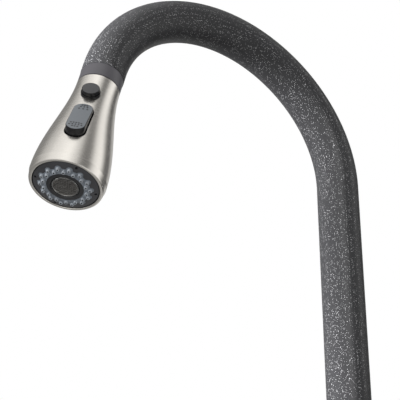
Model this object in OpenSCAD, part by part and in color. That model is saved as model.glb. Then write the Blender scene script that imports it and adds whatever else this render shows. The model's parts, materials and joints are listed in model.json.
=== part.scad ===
// Pull-down kitchen faucet: gooseneck spout that swivels on a deck-mounted body,
// docked spray head on a hose, side lever on a ceramic mixing cartridge.
// Origin: centre of the body on the deck's top face. +Z up, the user stands at -Y, lever at +X.

/* [Gooseneck] */
// Outer diameter of the spout tube
tube_d = 30; // [27:0.5:33]
// Wall of the spout tube
tube_wall = 1.5; // [1.2:0.1:2]
// Radius of the bend, to the tube's centre line
bend_r = 100; // [80:1:130]
// Angle that the bend turns through
bend_sweep = 166.7; // [150:0.1:180]
// Height of the bend's centre above the deck
bend_h = 305; // [240:1:380]
// Straight length of tube past the bend
tail_l = 8; // [6:0.5:30]
// Length of the dock sleeve that shows past the tube
dock_l = 10.6; // [9:0.1:16]
// Step in radius from the tube down to the dock sleeve
dock_step = 0.25; // [0.1:0.05:0.6]

/* [Spray head] */
// Length of the head from the seam to the rim
head_l = 86.9; // [84:0.1:110]
// Step in radius from the tube down to the shell at the seam
neck_step = 0.2; // [0.1:0.05:0.6]
// Outer diameter of the shell at the rim
rim_d = 50.8; // [47:0.1:60]
// Wall of the shell
shell_wall = 1.6; // [1.2:0.1:2]
// Height of the tapered band above the rim
rim_band = 5.5; // [4:0.1:6.5]
// Drop in radius across that band
rim_taper = 0.85; // [0.4:0.05:1.2]
// Turn of the docked head about its own axis, away from facing the user
head_turn = -58; // [-180:1:180]
// Width of the black seam under the dock
seam_gap = 0.9; // [0.6:0.1:1.5]

/* [Pause button] */
// Distance of the button below the seam
pause_u = 19.8; // [19:0.1:22]
// Diameter of the button
pause_d = 11.8; // [10:0.1:12]
// Height of the button above the shell
pause_proud = 4.1; // [3:0.1:5]
// Travel of the button
pause_travel = 2; // [1:0.1:2]

/* [Rocker] */
// Distance of the rocker's middle below the seam
rocker_u = 50; // [48:0.2:52]
// Length of the rocker along the head
rocker_l = 33.4; // [28:0.2:34.4]
// Width of the rocker
rocker_w = 12.7; // [11:0.1:13.5]
// Height of the rocker above the shell when level
rocker_proud = 2.7; // [2.2:0.1:3.2]
// Tilt of the rocker to either side of level
rocker_tilt = 6.7; // [4:0.1:7]

/* [Spray face] */
// Rise of the face from its edge to its middle
face_rise = 3; // [1.5:0.1:4]
// Pitch radius of the outer nozzles
outer_nozzle_r = 16.4; // [16:0.1:17]
// Pitch radius of the inner nozzles
inner_nozzle_r = 14.3; // [14:0.1:14.6]
// Nozzles in each of the two circles
nozzle_n = 14; // [10:1:16]
// Height of a nozzle above the face
nozzle_h = 1.4; // [0.8:0.1:2]
// Radius of the nozzle ring's inner edge
nozzle_ring_ri = 12.3; // [12:0.1:12.6]
// Outer diameter of the aerator
aerator_d = 17.8; // [16:0.1:18]

/* [Body] */
// Outer diameter of the body
body_d = 46; // [44:0.5:52]
// Height of the body's top above the deck
body_h = 118; // [114:1:150]
// Wall of the body
body_wall = 2; // [1.5:0.1:2.5]
// How far the base flange stands out past the body
flange_out = 4; // [3:0.1:8]
// Height of the base flange above its gasket
flange_h = 5.2; // [4:0.1:8]
// Thickness of the base gasket
gasket_t = 0.8; // [0.5:0.1:2]

/* [Lever] */
// Height of the lever's axis above the deck
lever_h = 62; // [58:1:64]
// Distance of the ball's centre from the body's axis
pivot_x = 36; // [36:0.5:39]
// Diameter of the lever's hub
hub_d = 34; // [33:0.5:38]
// Length of the lever from the hub's axis to its tip
lever_l = 105; // [60:1:130]
// Diameter of the lever rod
lever_d = 8.4; // [6:0.1:9]

/* [Fixing] */
// Outer diameter of the shank
shank_d = 33.2; // [32.4:0.1:34]
// Length of the shank below the deck's top face
shank_l = 75; // [70:1:95]
// Thickest worktop that the shank holds
deck_gap = 33; // [20:1:40]
// Outer diameter of the clamp washers
washer_d = 56; // [52:1:64]
// Depth of the supply tails below the deck's top face
tail_depth = 118; // [110:1:160]

/* [Hose] */
// Outer diameter of the spray hose
hose_d = 12.5; // [11:0.1:12.6]
// Inner diameter of the spray hose
hose_di = 8; // [6:0.1:9]

/* [Fits] */
// Running clearance on radius, for pins and plain bearings
run_fit = 0.05; // [0.02:0.01:0.1]
// Loose clearance on radius between moving pieces
loose_fit = 0.3; // [0.25:0.05:0.5]
// Gap between pieces that are fixed together
seat_fit = 0.05; // [0.02:0.01:0.1]

/* [Hidden] */
$fn = 96;
// Overlap of a cutting solid past the face that it cuts
cut = 1;

// Gooseneck, worked out from its driving sizes
tube_ro = tube_d / 2;
tube_ri = tube_ro - tube_wall;
bend_end = [0, -bend_r + bend_r * cos(bend_sweep), bend_h + bend_r * sin(bend_sweep)];
seam_s = tail_l + dock_l;
lap_l = 0.5;
lap_step = 0.02;
dock_ro = tube_ro - dock_step;
dock_bore_r = hose_d / 2 + 3.95;
magnet_ri = dock_bore_r + 0.8;
magnet_ro = dock_ro - 2.05;
magnet_t = 3.6;

// Body and swivel
body_ro = body_d / 2;
body_ri = body_ro - body_wall;
body_z0 = gasket_t + flange_h;
flange_r = body_ro + flange_out;
swivel_ri = tube_ro + 3;
swivel_z0 = body_h - 34;
tube_z0 = swivel_z0 - 2;
clip_z = swivel_z0 + 0.8;
clip_t = 1.2;
lower_bush_z = clip_z + clip_t + 1;
bush_l = 6;
friction_z = body_h - 18;
upper_bush_z = body_h - 12;
bush_flange_t = 1.5;
bush_flange_ro = tube_ro + 4;
foot_z = body_h + bush_flange_t + loose_fit;
foot_h = 7;
body_round = 3;

// Valve and cartridge: distances run out along +X from the body's axis
ball_r = 14.5;
ball_wall = 1.4;
boss_x = pivot_x - 5;
boss_ro = ball_r + 2;
boss_ri = ball_r + 0.5;
valve_ro = boss_ri - 0.1;
valve_x0 = 1.2;
cavity_x = boss_x - 19.5;
cavity_r = 13;
seal_t = 1.5;
fixed_disc_t = 4;
disc_ro = 11.2;
moving_disc_r = 8.5;
moving_disc_t = 3.4;
slider_t = 2.8;
stem_arm = 12;
stem_ball_r = 2.8;
stem_r = 2.6;
stem_head_r = 3.2;
tilt_max = 20;
disc_travel = stem_arm * sin(tilt_max);
disc_y = disc_travel / 2;
fixed_disc_x = cavity_x + seal_t;
moving_disc_x = fixed_disc_x + fixed_disc_t + seat_fit;
slider_x = moving_disc_x + moving_disc_t + seat_fit;
shoulder_x = cavity_x + 13;
housing_ro = cavity_r - 0.3;
housing_ri = disc_ro + 0.2;
neck_ro = housing_ro - 2.1;
turret_x = pivot_x - stem_arm - stem_ball_r + 2.9;
turret_t = 3;
turret_r = 9.2;
turret_neck_r = 7.4;
turret_top = pivot_x + 4;
housing_wall_x = turret_x + turret_t + loose_fit;
housing_end_x = housing_wall_x + 1.9;
nut_head_l = 2.5;
tilt_pin_r = 1.5;
slot_z = 3;
hub_ri = ball_r + 0.5;
hub_x0 = pivot_x + 3;
hub_x1 = pivot_x + 24;
lever_x = pivot_x + 16;
screw_x = pivot_x + 18.5;
screw_r = 2;
plug_r = 2.6;

// Supply tails and hose route through the shank
shank_ro = shank_d / 2;
shank_ri = shank_ro - 2.6;
shank_top = body_z0 + 14;
shank_neck_ro = shank_ro - 0.6;
tail_r = 3.8;
tail_bore = 2.6;
tail_end_r = 5;
tail_x = 5.2;
tail_y = 8.4;
outlet_x = 5.9;
port_z = lever_h - 2;
hose_r = hose_d / 2;
hose_ri = hose_di / 2;
hose_swap_z = body_h - 15;
hose_shift = hose_r + 0.25;
hose_step_h = 19;
hose_end_z = -shank_l - 4;
thread_pitch = 2;
thread_depth = 0.9;
rubber_t = 3;
steel_t = 1.5;
nut_t = 10;
clamp_screw_r = 2.5;
clamp_screw_n = 3;

// Spray head: u runs from the seam down the head's axis to the rim
button_az = 90 + head_turn;
neck_r = tube_ro - neck_step;
rim_r = rim_d / 2;
flare_l = head_l - 6.9;
rim_step = 0.15;
rim_round = 1.1;
rim_ease = 0.4;
face_r = rim_r - 3.8;
face_gap = 0.6;
face_u = head_l - 0.4;
spigot_ro = dock_bore_r - 0.5;
spigot_ri = spigot_ro - 1.5;
spigot_l = 7;
ferrule_r = spigot_ri - 0.6;
ferrule_u = -16;
joint_ball_r = 5.2;
joint_ball_u = 6.2;
joint_neck_r = 3.2;
socket_ro = 9.2;
socket_u1 = 13;
core_u0 = socket_u1 + 0.2;
core_top_r = 9;
core_r = 9.8;
core_step_u = pause_u + 9;
chamber_u = rocker_u + rocker_l / 2 + 4.4;
chamber_r = 20.8;
chamber_wall = 1.6;
chamber_end = head_l - 5.9;
core_bore = 3;
check_r = 4.9;
check_t = 3.2;

// Buttons, in the frame of the shell's surface where each one sits
bezel_ro = pause_d / 2 + 0.6;
bezel_ri = pause_d / 2 + 0.15;
bezel_proud = 1.2;
bezel_floor = 5.8;
bezel_floor_t = 1;
pause_skirt = 1.6;
pause_stem_r = 1.5;
pause_stem_end = 13.7;
seal_n = 8;
spring_r = 3.2;
spring_wire = 0.45;
spring_turns = 3;
cup_n = 0.9;
cup_r = spring_r + spring_wire + loose_fit;
stem_top = cup_n + 1.8;
pivot_n = 4.6;
rocker_gap = 0.8;
rocker_under = 3.4;
rocker_bar_r = 2.2;
rocker_pin_r = 1;
cradle_out = rocker_gap + 1.4;
cradle_floor = 8;
cradle_floor_t = 0.8;
lug_end_x = 8.4;
lug_r = 0.9;
lug_t = 1.2;
lug_w = 4;
spool_x = 6.4;
spool_r = 2.6;
spool_u0 = rocker_u - 10;
spool_l = 25;
spool_notch = 2.6;

// Spray face
face_turn = 2;
plate_hole_at = [-24, 78, 156, 258];
plate_u = head_l - 4.9;
ring_flange_u = chamber_end - 0.8;
scallop_r = 2.2;
nozzle_r0 = 1.25;
nozzle_r1 = 0.95;
nozzle_bore = 0.35;
plate_hole_r = 0.9;
plate_hole_pitch = face_r - 1.7;
hub_ro = nozzle_ring_ri - 0.15;
aerator_r = aerator_d / 2;
hub_ri_face = aerator_r + 0.5;
aerator_wall = 0.7;
aerator_u0 = chamber_u + chamber_wall + 0.5;
mesh_wire = 0.35;
mesh_pitch = 1.1;

// ---- shared shapes ----

// Smooth rise from 0 to 1
function ease(t) = 3 * t * t - 2 * t * t * t;
// Outer radius of the shell at a distance u below the seam
function shell_r(u) = neck_r + (rim_r - neck_r) * ease(min(1, u / flare_l));
// Slope angle of the shell's side at u
function shell_slope(u) =
    atan((rim_r - neck_r) * 6 * (u / flare_l) * (1 - u / flare_l) / flare_l);
// Height of the domed face above its edge at radius r
function face_h(r) = face_u + face_rise * (1 - r * r / (face_r * face_r));

// Angle of the rocker's lug from the radial direction, and where its tip then lies
lug_slope = shell_slope(rocker_u);
pivot_x_head = shell_r(rocker_u) - pivot_n * cos(lug_slope);
pivot_u_head = rocker_u + pivot_n * sin(lug_slope);
lug_l = (pivot_x_head - lug_end_x) / cos(lug_slope);
function lug_u(tilt) = pivot_u_head + lug_l * sin(lug_slope + tilt);
spool_notch_u = lug_u(rocker_tilt);
spool_travel = lug_u(rocker_tilt) - lug_u(-rocker_tilt);

// Tube along +Z
module pipe(h, ro, ri) {
    difference() {
        cylinder(h = h, r = ro);
        translate([0, 0, -cut]) cylinder(h = h + 2 * cut, r = ri);
    }
}

module ring2d(ro, ri) {
    difference() {
        circle(r = ro);
        circle(r = ri);
    }
}

module stadium(l, w) {
    square([l - w, w], center = true);
    for (side = [-1, 1]) translate([side * (l - w) / 2, 0]) circle(d = w);
}

// Tube that follows the bend
module bend_pipe(ro, ri) {
    translate([0, -bend_r, bend_h]) rotate([90, 0, 90])
        rotate_extrude(angle = bend_sweep) translate([bend_r, 0]) ring2d(ro, ri);
}

// Frame at the end of the bend, +Z along the outlet
module at_outlet() {
    translate(bend_end) rotate([bend_sweep, 0, 0]) children();
}

// Frame of the docked head: +Z from the seam to the rim, +X towards the buttons
module in_head() {
    at_outlet() translate([0, 0, seam_s]) rotate([0, 0, button_az]) children();
}

// Frame of the face, whose pattern is turned a little against the buttons
module in_face() {
    in_head() rotate([0, 0, face_turn]) children();
}

// Frame on the shell at u: +Z out of the shell, +X up towards the neck
module on_shell(u) {
    translate([shell_r(u), 0, u]) rotate([0, 90 + shell_slope(u), 0]) children();
}

// Frame of the valve: +Z out along the lever's axis, which is world +X
module in_valve() {
    translate([0, 0, lever_h]) rotate([0, 90, 0]) children();
}

// ---- fixing to the deck ----

module base_gasket() {
    color("#1c1c1e") pipe(gasket_t, flange_r - 1, shank_ro + 1.4);
}

module base_flange() {
    edge = 1.5;
    color("#3c3d40") difference() {
        union() {
            translate([0, 0, gasket_t]) cylinder(h = flange_h - edge, r = flange_r);
            translate([0, 0, body_z0 - edge])
                cylinder(h = edge, r1 = flange_r, r2 = flange_r - edge);
            translate([0, 0, body_z0]) cylinder(h = shank_top - body_z0, r = body_ri - seat_fit);
        }
        translate([0, 0, gasket_t - cut])
            cylinder(h = shank_top + cut, r = shank_neck_ro + seat_fit);
    }
}

module shank() {
    teeth = floor((shank_l - deck_gap) / thread_pitch);
    root_r = shank_ro - thread_depth;
    profile = concat(
        [[shank_ri, shank_top], [shank_neck_ro, shank_top], [shank_neck_ro, 0]],
        [[shank_ro, 0], [shank_ro, -deck_gap]],
        [for (i = [0:teeth - 1], part = [0.25, 0.75])
            [part < 0.5 ? root_r : shank_ro, -deck_gap - (i + part) * thread_pitch]],
        [[root_r, -shank_l], [shank_ri, -shank_l]]
    );
    color("#b08d4c") rotate_extrude() polygon(profile);
}

module rubber_washer() {
    color("#1c1c1e") translate([0, 0, -deck_gap - rubber_t])
        pipe(rubber_t, washer_d / 2, shank_ro + 0.4);
}

module steel_washer() {
    color("#a9abad") translate([0, 0, -deck_gap - rubber_t - steel_t])
        pipe(steel_t, washer_d / 2, shank_ro + 0.4);
}

// Frame at the top of the nut, for each clamp screw in turn
module at_clamp_screws() {
    pitch = (shank_ro + washer_d / 2) / 2 + 1;
    for (i = [0:clamp_screw_n - 1])
        rotate([0, 0, 90 + i * 360 / clamp_screw_n])
            translate([pitch, 0, -deck_gap - rubber_t - steel_t]) children();
}

module mounting_nut() {
    color("#b08d4c") difference() {
        translate([0, 0, -deck_gap - rubber_t - steel_t - nut_t]) union() {
            cylinder(h = nut_t, r = washer_d / 2 - 2);
            translate([0, 0, -6]) cylinder(h = 6 + cut, r = 23, $fn = 6);
        }
        translate([0, 0, -deck_gap - 60]) cylinder(h = 60 + cut, r = shank_ro + seat_fit);
        at_clamp_screws() translate([0, 0, -nut_t - cut])
            cylinder(h = nut_t + 2 * cut, r = clamp_screw_r + seat_fit);
    }
}

module clamp_screws() {
    head_h = 4;
    color("#a9abad") at_clamp_screws() {
        translate([0, 0, -nut_t - 6]) cylinder(h = nut_t + 6, r = clamp_screw_r);
        translate([0, 0, -nut_t - 6 - head_h]) difference() {
            cylinder(h = head_h, r = 4);
            translate([-0.6, -5, -cut]) cube([1.2, 10, 1 + cut]);
        }
    }
}

// ---- body and swivel ----

module body_shell() {
    color("#3c3d40") difference() {
        union() {
            rotate_extrude() polygon(concat(
                [[0, body_z0], [body_ro, body_z0]],
                [for (a = [0:15:90]) [
                    body_ro - body_round * (1 - cos(a)),
                    body_h - body_round * (1 - sin(a))
                ]],
                [[0, body_h]]
            ));
            in_valve() cylinder(h = boss_x, r = boss_ro);
        }
        translate([0, 0, body_z0 - cut]) cylinder(h = swivel_z0 - body_z0 + cut, r = body_ri);
        translate([0, 0, swivel_z0 - cut]) cylinder(h = body_h, r = swivel_ri);
        in_valve() cylinder(h = boss_x + cut, r = boss_ri);
    }
}

module upper_bush() {
    color("#e8e6e0") {
        difference() {
            union() {
                translate([0, 0, upper_bush_z])
                    cylinder(h = body_h - upper_bush_z + cut / 2, r = swivel_ri - seat_fit);
                translate([0, 0, body_h]) cylinder(h = bush_flange_t, r = bush_flange_ro);
            }
            translate([0, 0, upper_bush_z - cut]) cylinder(h = 20, r = tube_ro + run_fit);
        }
    }
}

module lower_bush() {
    color("#e8e6e0") translate([0, 0, lower_bush_z])
        pipe(bush_l, swivel_ri - seat_fit, tube_ro + run_fit);
}

module friction_ring() {
    section = (swivel_ri - tube_ro) / 2 - run_fit;
    color("#1c1c1e") translate([0, 0, friction_z])
        rotate_extrude() translate([(swivel_ri + tube_ro) / 2, 0]) circle(r = section);
}

// ---- valve ----

// Tail positions: hot, cold and mixed outlet
tails = [[tail_x, tail_y], [tail_x, -tail_y], [outlet_x, 0]];

module valve_body() {
    color("#b08d4c") difference() {
        in_valve() translate([0, 0, valve_x0]) cylinder(h = boss_x - valve_x0 - 0.2, r = valve_ro);
        in_valve() translate([0, 0, cavity_x]) cylinder(h = boss_x, r = cavity_r);
        for (t = tails) translate([t[0], t[1], 0]) cylinder(h = port_z, r = tail_r + seat_fit);
        for (side = [-1, 1]) translate([tail_x, side * 6, port_z - 3]) rotate([0, 90, 0])
            cylinder(h = cavity_x, r = 2.2);
        translate([outlet_x, 0, 0]) cylinder(h = lever_h + 6, r = tail_bore);
        translate([outlet_x, 0, lever_h + 5]) rotate([0, 90, 0]) cylinder(h = cavity_x, r = 2.2);
    }
}

// Three through ports of the seal and the fixed disc
module disc_ports(h) {
    for (side = [-1, 1]) translate([5, side * 6, -cut]) cylinder(h = h + 2 * cut, r = 2.2);
    translate([-5, 0, -cut]) cylinder(h = h + 2 * cut, r = 2.2);
}

module cartridge_seal() {
    color("#2a2a2c") in_valve() translate([0, 0, cavity_x]) difference() {
        cylinder(h = seal_t - seat_fit, r = housing_ro);
        disc_ports(seal_t);
    }
}

module fixed_disc() {
    color("#f2efe8") in_valve() translate([0, 0, fixed_disc_x]) difference() {
        cylinder(h = fixed_disc_t, r = disc_ro);
        disc_ports(fixed_disc_t);
    }
}

module moving_disc() {
    color("#f2efe8") in_valve() translate([0, disc_y, moving_disc_x]) difference() {
        cylinder(h = moving_disc_t, r = moving_disc_r);
        translate([0, 0, -cut]) cylinder(h = 1.5 + cut, r = 4.5);
    }
}

module disc_slider() {
    color("#d8d5cc") in_valve() difference() {
        translate([0, disc_y, slider_x]) cylinder(h = slider_t, r = moving_disc_r - 0.3);
        translate([0, 0, slider_x - cut]) cylinder(h = slider_t + 2 * cut, r = stem_ball_r + 0.3);
    }
}

module cartridge_housing() {
    color("#c9c6bd") in_valve() difference() {
        union() {
            translate([0, 0, fixed_disc_x]) cylinder(h = shoulder_x - fixed_disc_x, r = housing_ro);
            translate([0, 0, shoulder_x]) cylinder(h = housing_end_x - shoulder_x, r = neck_ro);
        }
        translate([0, 0, fixed_disc_x - cut])
            cylinder(h = turret_x - 0.3 - fixed_disc_x + cut, r = housing_ri);
        translate([0, 0, turret_x - 0.6])
            cylinder(h = housing_wall_x - turret_x + 0.6, r = turret_r + 0.4);
        translate([0, 0, housing_wall_x - cut])
            cylinder(h = 2 * cut + 2, r = turret_neck_r + loose_fit);
    }
}

module cartridge_nut() {
    nut_x0 = shoulder_x + 0.2;
    color("#b08d4c") in_valve() difference() {
        union() {
            translate([0, 0, nut_x0]) cylinder(h = boss_x - nut_x0, r = cavity_r - 0.1);
            translate([0, 0, boss_x]) cylinder(h = nut_head_l, r = 11.8, $fn = 12);
        }
        translate([0, 0, nut_x0 - cut]) cylinder(h = 20, r = neck_ro + 0.3);
    }
}

module bonnet_dome() {
    opening = 9.2;
    color("#3c3d40") in_valve() translate([0, 0, pivot_x]) rotate_extrude() difference() {
        intersection() {
            ring2d(ball_r, ball_r - ball_wall);
            translate([0, boss_x - pivot_x + 0.1]) square([ball_r + cut, 2 * ball_r]);
        }
        translate([0, 0]) square([opening, 2 * ball_r]);
    }
}

module cartridge_turret() {
    slot_y0 = -7.5;
    slot_y1 = 4.8;
    color("#6d6a62") in_valve() difference() {
        union() {
            translate([0, 0, turret_x]) cylinder(h = turret_t, r = turret_r);
            translate([0, 0, turret_x]) cylinder(h = turret_top - turret_x, r = turret_neck_r);
        }
        translate([-slot_z - 0.2, slot_y0, turret_x - cut])
            cube([2 * slot_z + 0.4, slot_y1 - slot_y0, turret_top]);
        translate([-turret_r, 0, pivot_x]) rotate([0, 90, 0])
            cylinder(h = 2 * turret_r, r = tilt_pin_r + 0.02);
    }
}

module tilt_pin() {
    color("#a9abad") translate([pivot_x, 0, lever_h - turret_neck_r + 0.4])
        cylinder(h = 2 * turret_neck_r - 0.8, r = tilt_pin_r);
}

module cartridge_stem() {
    boss_r = 3.9;
    stem_x1 = hub_x1 - 3;
    color("#b08d4c") difference() {
        in_valve() {
            translate([0, 0, pivot_x - stem_arm]) sphere(r = stem_ball_r);
            translate([0, 0, pivot_x - stem_arm]) cylinder(h = stem_arm + 5, r = stem_r);
            translate([0, 0, pivot_x + 5]) cylinder(h = stem_x1 - pivot_x - 5, r = stem_head_r);
            translate([-slot_z + 0.1, 0, pivot_x]) rotate([0, 90, 0])
                cylinder(h = 2 * slot_z - 0.2, r = boss_r);
        }
        translate([pivot_x, 0, lever_h - 10]) cylinder(h = 20, r = tilt_pin_r + run_fit);
    }
}

module handle_hub() {
    edge = 1.5;
    color("#3c3d40") difference() {
        in_valve() {
            translate([0, 0, hub_x0]) cylinder(h = hub_x1 - hub_x0 - edge, r = hub_d / 2);
            translate([0, 0, hub_x1 - edge])
                cylinder(h = edge, r1 = hub_d / 2, r2 = hub_d / 2 - edge);
        }
        in_valve() translate([0, 0, pivot_x]) sphere(r = hub_ri);
        in_valve() translate([0, 0, pivot_x])
            cylinder(h = hub_x1 - pivot_x - 3, r = stem_head_r + seat_fit);
        translate([lever_x, -hub_d / 2 + 6, lever_h]) rotate([90, 0, 0])
            cylinder(h = hub_d, r = lever_d / 2 + seat_fit);
        translate([screw_x, 0, lever_h - hub_d / 2 - cut])
            cylinder(h = hub_d / 2 + cut, r = screw_r + seat_fit);
        translate([screw_x, 0, lever_h - hub_d / 2 - cut]) cylinder(h = 2 + cut, r = plug_r);
    }
}

module lever_rod() {
    tip_r = lever_d / 2;
    color("#c7c4bd") translate([lever_x, -hub_d / 2 + 6, lever_h]) rotate([90, 0, 0]) {
        cylinder(h = lever_l - hub_d / 2 + 6 - tip_r, r = tip_r);
        translate([0, 0, lever_l - hub_d / 2 + 6 - tip_r]) sphere(r = tip_r);
    }
}

module handle_set_screw() {
    color("#a9abad") translate([screw_x, 0, lever_h - hub_d / 2 + 3]) difference() {
        cylinder(h = hub_d / 2 - 3 - stem_head_r - seat_fit, r = screw_r);
        translate([0, 0, -cut]) cylinder(h = 2.5 + cut, r = 1.2, $fn = 6);
    }
}

module handle_plug() {
    color("#8f9296") translate([screw_x, 0, lever_h]) intersection() {
        translate([0, 0, -hub_d / 2]) cylinder(h = 2, r = plug_r - seat_fit);
        rotate([0, 90, 0]) cylinder(h = 20, r = hub_d / 2, center = true);
    }
}

// ---- supply tails and hose inlet ----

module tail_pipe(at, depth, end_r) {
    end_l = 12;
    translate([at[0], at[1], -depth]) difference() {
        union() {
            cylinder(h = depth + port_z - 6, r = tail_r);
            cylinder(h = end_l, r = end_r);
        }
        translate([0, 0, -cut]) cylinder(h = depth + port_z, r = tail_bore);
    }
}

module hot_tail() {
    color("#b4713a") tail_pipe(tails[0], tail_depth, tail_end_r);
}

module cold_tail() {
    color("#b4713a") tail_pipe(tails[1], tail_depth, tail_end_r);
}

module outlet_tail() {
    color("#b4713a") tail_pipe(tails[2], tail_depth - 20, tail_r + 0.4);
}

// The hose steps aside past the valve: a stack of level rings, joined into one skin
module spray_hose_lower() {
    sides = 12;
    steps = 10;
    levels = concat([hose_swap_z], [for (i = [0:steps]) hose_swap_z - 2 - hose_step_h * i / steps],
        [hose_end_z]);
    function shift_at(z) =
        -hose_shift * ease(max(0, min(1, (hose_swap_z - 2 - z) / hose_step_h)));
    points = [for (z = levels, k = [0:sides - 1])
        [shift_at(z) + hose_r * cos(k * 360 / sides), hose_r * sin(k * 360 / sides), z]];
    walls = [for (j = [0:len(levels) - 2], k = [0:sides - 1]) let (n = (k + 1) % sides)
        [j * sides + k, j * sides + n, (j + 1) * sides + n, (j + 1) * sides + k]];
    lid = [for (k = [sides - 1:-1:0]) k];
    foot = [for (k = [0:sides - 1]) (len(levels) - 1) * sides + k];
    color("#55585c") polyhedron(points, concat([lid], walls, [foot]));
}

module hose_plug() {
    plug_l = 18;
    color("#b08d4c") translate([-hose_shift, 0, hose_end_z - 10]) difference() {
        union() {
            cylinder(h = 9.8, r = hose_r + 0.6);
            translate([0, 0, -plug_l]) cylinder(h = plug_l, r = 5);
        }
        translate([0, 0, -plug_l - cut]) cylinder(h = plug_l + 12, r = 2.8);
    }
}

// ---- spout ----

// A pipe up from z0, round the bend and straight on. The end length laps over the bend by a
// hair, so that the two join cleanly.
module swan_pipe(z0, end_l, ro, ri) {
    translate([0, 0, z0]) rotate([0, 0, 90]) pipe(bend_h - z0, ro, ri);
    bend_pipe(ro, ri);
    at_outlet() rotate([0, 0, 90]) translate([0, 0, -lap_l])
        pipe(end_l + lap_l, ro + lap_step, ri - lap_step);
}

module spout_tube() {
    color("#3c3d40") swan_pipe(tube_z0, tail_l, tube_ro, tube_ri);
}

module spout_foot_ring() {
    edge = 1.2;
    color("#3c3d40") translate([0, 0, foot_z]) difference() {
        union() {
            cylinder(h = foot_h - edge, r = bush_flange_ro);
            translate([0, 0, foot_h - edge])
                cylinder(h = edge, r1 = bush_flange_ro, r2 = bush_flange_ro - edge);
        }
        translate([0, 0, -cut]) cylinder(h = foot_h + 2 * cut, r = tube_ro + 0.02);
    }
}

module retaining_clip() {
    gap_w = 6;
    color("#a9abad") translate([0, 0, clip_z]) difference() {
        pipe(clip_t, swivel_ri - 0.8, tube_ro + 0.02);
        translate([0, -gap_w / 2, -cut]) cube([swivel_ri, gap_w, clip_t + 2 * cut]);
    }
}

module dock_sleeve() {
    plug_s = 1;
    color("#55535a") at_outlet() difference() {
        union() {
            translate([0, 0, plug_s]) cylinder(h = seam_s - plug_s, r = tube_ri - lap_step - seat_fit);
            translate([0, 0, tail_l]) cylinder(h = dock_l, r = dock_ro);
        }
        translate([0, 0, plug_s - cut]) cylinder(h = seam_s + cut, r = dock_bore_r);
        translate([0, 0, seam_s - magnet_t - 0.4])
            pipe(magnet_t + 0.4 + cut, magnet_ro + seat_fit, magnet_ri - seat_fit);
    }
}

module dock_magnet() {
    color("#77797c") at_outlet() translate([0, 0, seam_s - magnet_t - 0.2])
        pipe(magnet_t, magnet_ro, magnet_ri);
}

module spray_hose_upper() {
    color("#55585c")
        swan_pipe(hose_swap_z + 0.2, seam_s + ferrule_u - 0.2, hose_r, hose_ri);
}

module hose_ferrule() {
    body_end = -3;
    color("#c3c1bb") in_head() difference() {
        union() {
            translate([0, 0, ferrule_u]) cylinder(h = body_end - ferrule_u, r = ferrule_r);
            translate([0, 0, body_end - cut])
                cylinder(h = joint_ball_u - body_end + cut, r = joint_neck_r);
            translate([0, 0, joint_ball_u]) sphere(r = joint_ball_r);
        }
        translate([0, 0, ferrule_u - cut]) cylinder(h = 40, r = 2.2);
    }
}

// ---- spray head ----

module neck_sleeve() {
    top = 0.15;
    color("#151517") in_head() difference() {
        union() {
            translate([0, 0, -spigot_l]) cylinder(h = spigot_l + cut, r = spigot_ro);
            translate([0, 0, top]) cylinder(h = seam_gap - top, r = neck_r - 0.6);
            translate([0, 0, seam_gap]) cylinder(h = pause_u - 7 - seam_gap, r = neck_r - shell_wall - 0.1);
        }
        translate([0, 0, -spigot_l - cut]) cylinder(h = spigot_l + cut + seam_gap, r = spigot_ri);
        translate([0, 0, seam_gap]) cylinder(h = 20, r = socket_ro + seat_fit);
        translate([0, 0, top - cut]) pipe(1.6 + cut, magnet_ro, magnet_ri - 0.1);
    }
}

module strike_ring() {
    color("#a9abad") in_head() translate([0, 0, 0.25])
        pipe(1.4, magnet_ro - seat_fit, magnet_ri - 0.1 + seat_fit);
}

module socket_nut() {
    color("#b08d4c") in_head() difference() {
        translate([0, 0, seam_gap + 0.1]) cylinder(h = socket_u1 - seam_gap - 0.1, r = socket_ro);
        translate([0, 0, joint_ball_u]) sphere(r = joint_ball_r + loose_fit);
        translate([0, 0, 0]) cylinder(h = joint_ball_u, r = joint_neck_r + 0.7);
        translate([0, 0, joint_ball_u]) cylinder(h = 20, r = 3.5);
    }
}

module check_valve() {
    color("#2f6fb0") in_head() translate([0, 0, core_u0 + 0.1]) {
        pipe(check_t, check_r, check_r - 1.2);
        translate([0, 0, 0.8]) cylinder(h = 1.2, r = 2.4);
        for (a = [0:120:240]) rotate([0, 0, a]) translate([2, -0.5, 0.8]) cube([2, 1, 1.2]);
    }
}

// Side of the shell from the seam down to u1, moved in by inset
function shell_side(inset, u1) = [
    for (i = [0:16]) let (u = seam_gap + (u1 - seam_gap) * i / 16) [shell_r(u) - inset, u]
];

module spray_shell() {
    band_u = head_l - rim_band;
    lip_r = rim_r - rim_step - rim_taper;
    mouth_r = face_r + face_gap;
    inner = shell_side(shell_wall, chamber_end - 2);
    outline = concat(
        shell_side(0, band_u),
        [[rim_r - rim_step, band_u + rim_step], [lip_r, head_l - rim_round]],
        [for (a = [15:15:90])
            [lip_r - rim_round * (1 - cos(a)), head_l - rim_round * (1 - sin(a))]],
        [[mouth_r + rim_ease, head_l], [mouth_r, head_l - rim_ease], [mouth_r, chamber_end]],
        [for (i = [len(inner) - 1:-1:0]) inner[i]]
    );
    color("#cbc8c0") in_head() difference() {
        rotate_extrude() polygon(outline);
        on_shell(pause_u) cylinder(h = 12, r = bezel_ro + seat_fit, center = true);
        on_shell(rocker_u) translate([0, 0, -6]) linear_extrude(12)
            stadium(rocker_l + 2 * rocker_gap, rocker_w + 2 * rocker_gap);
    }
}

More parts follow.
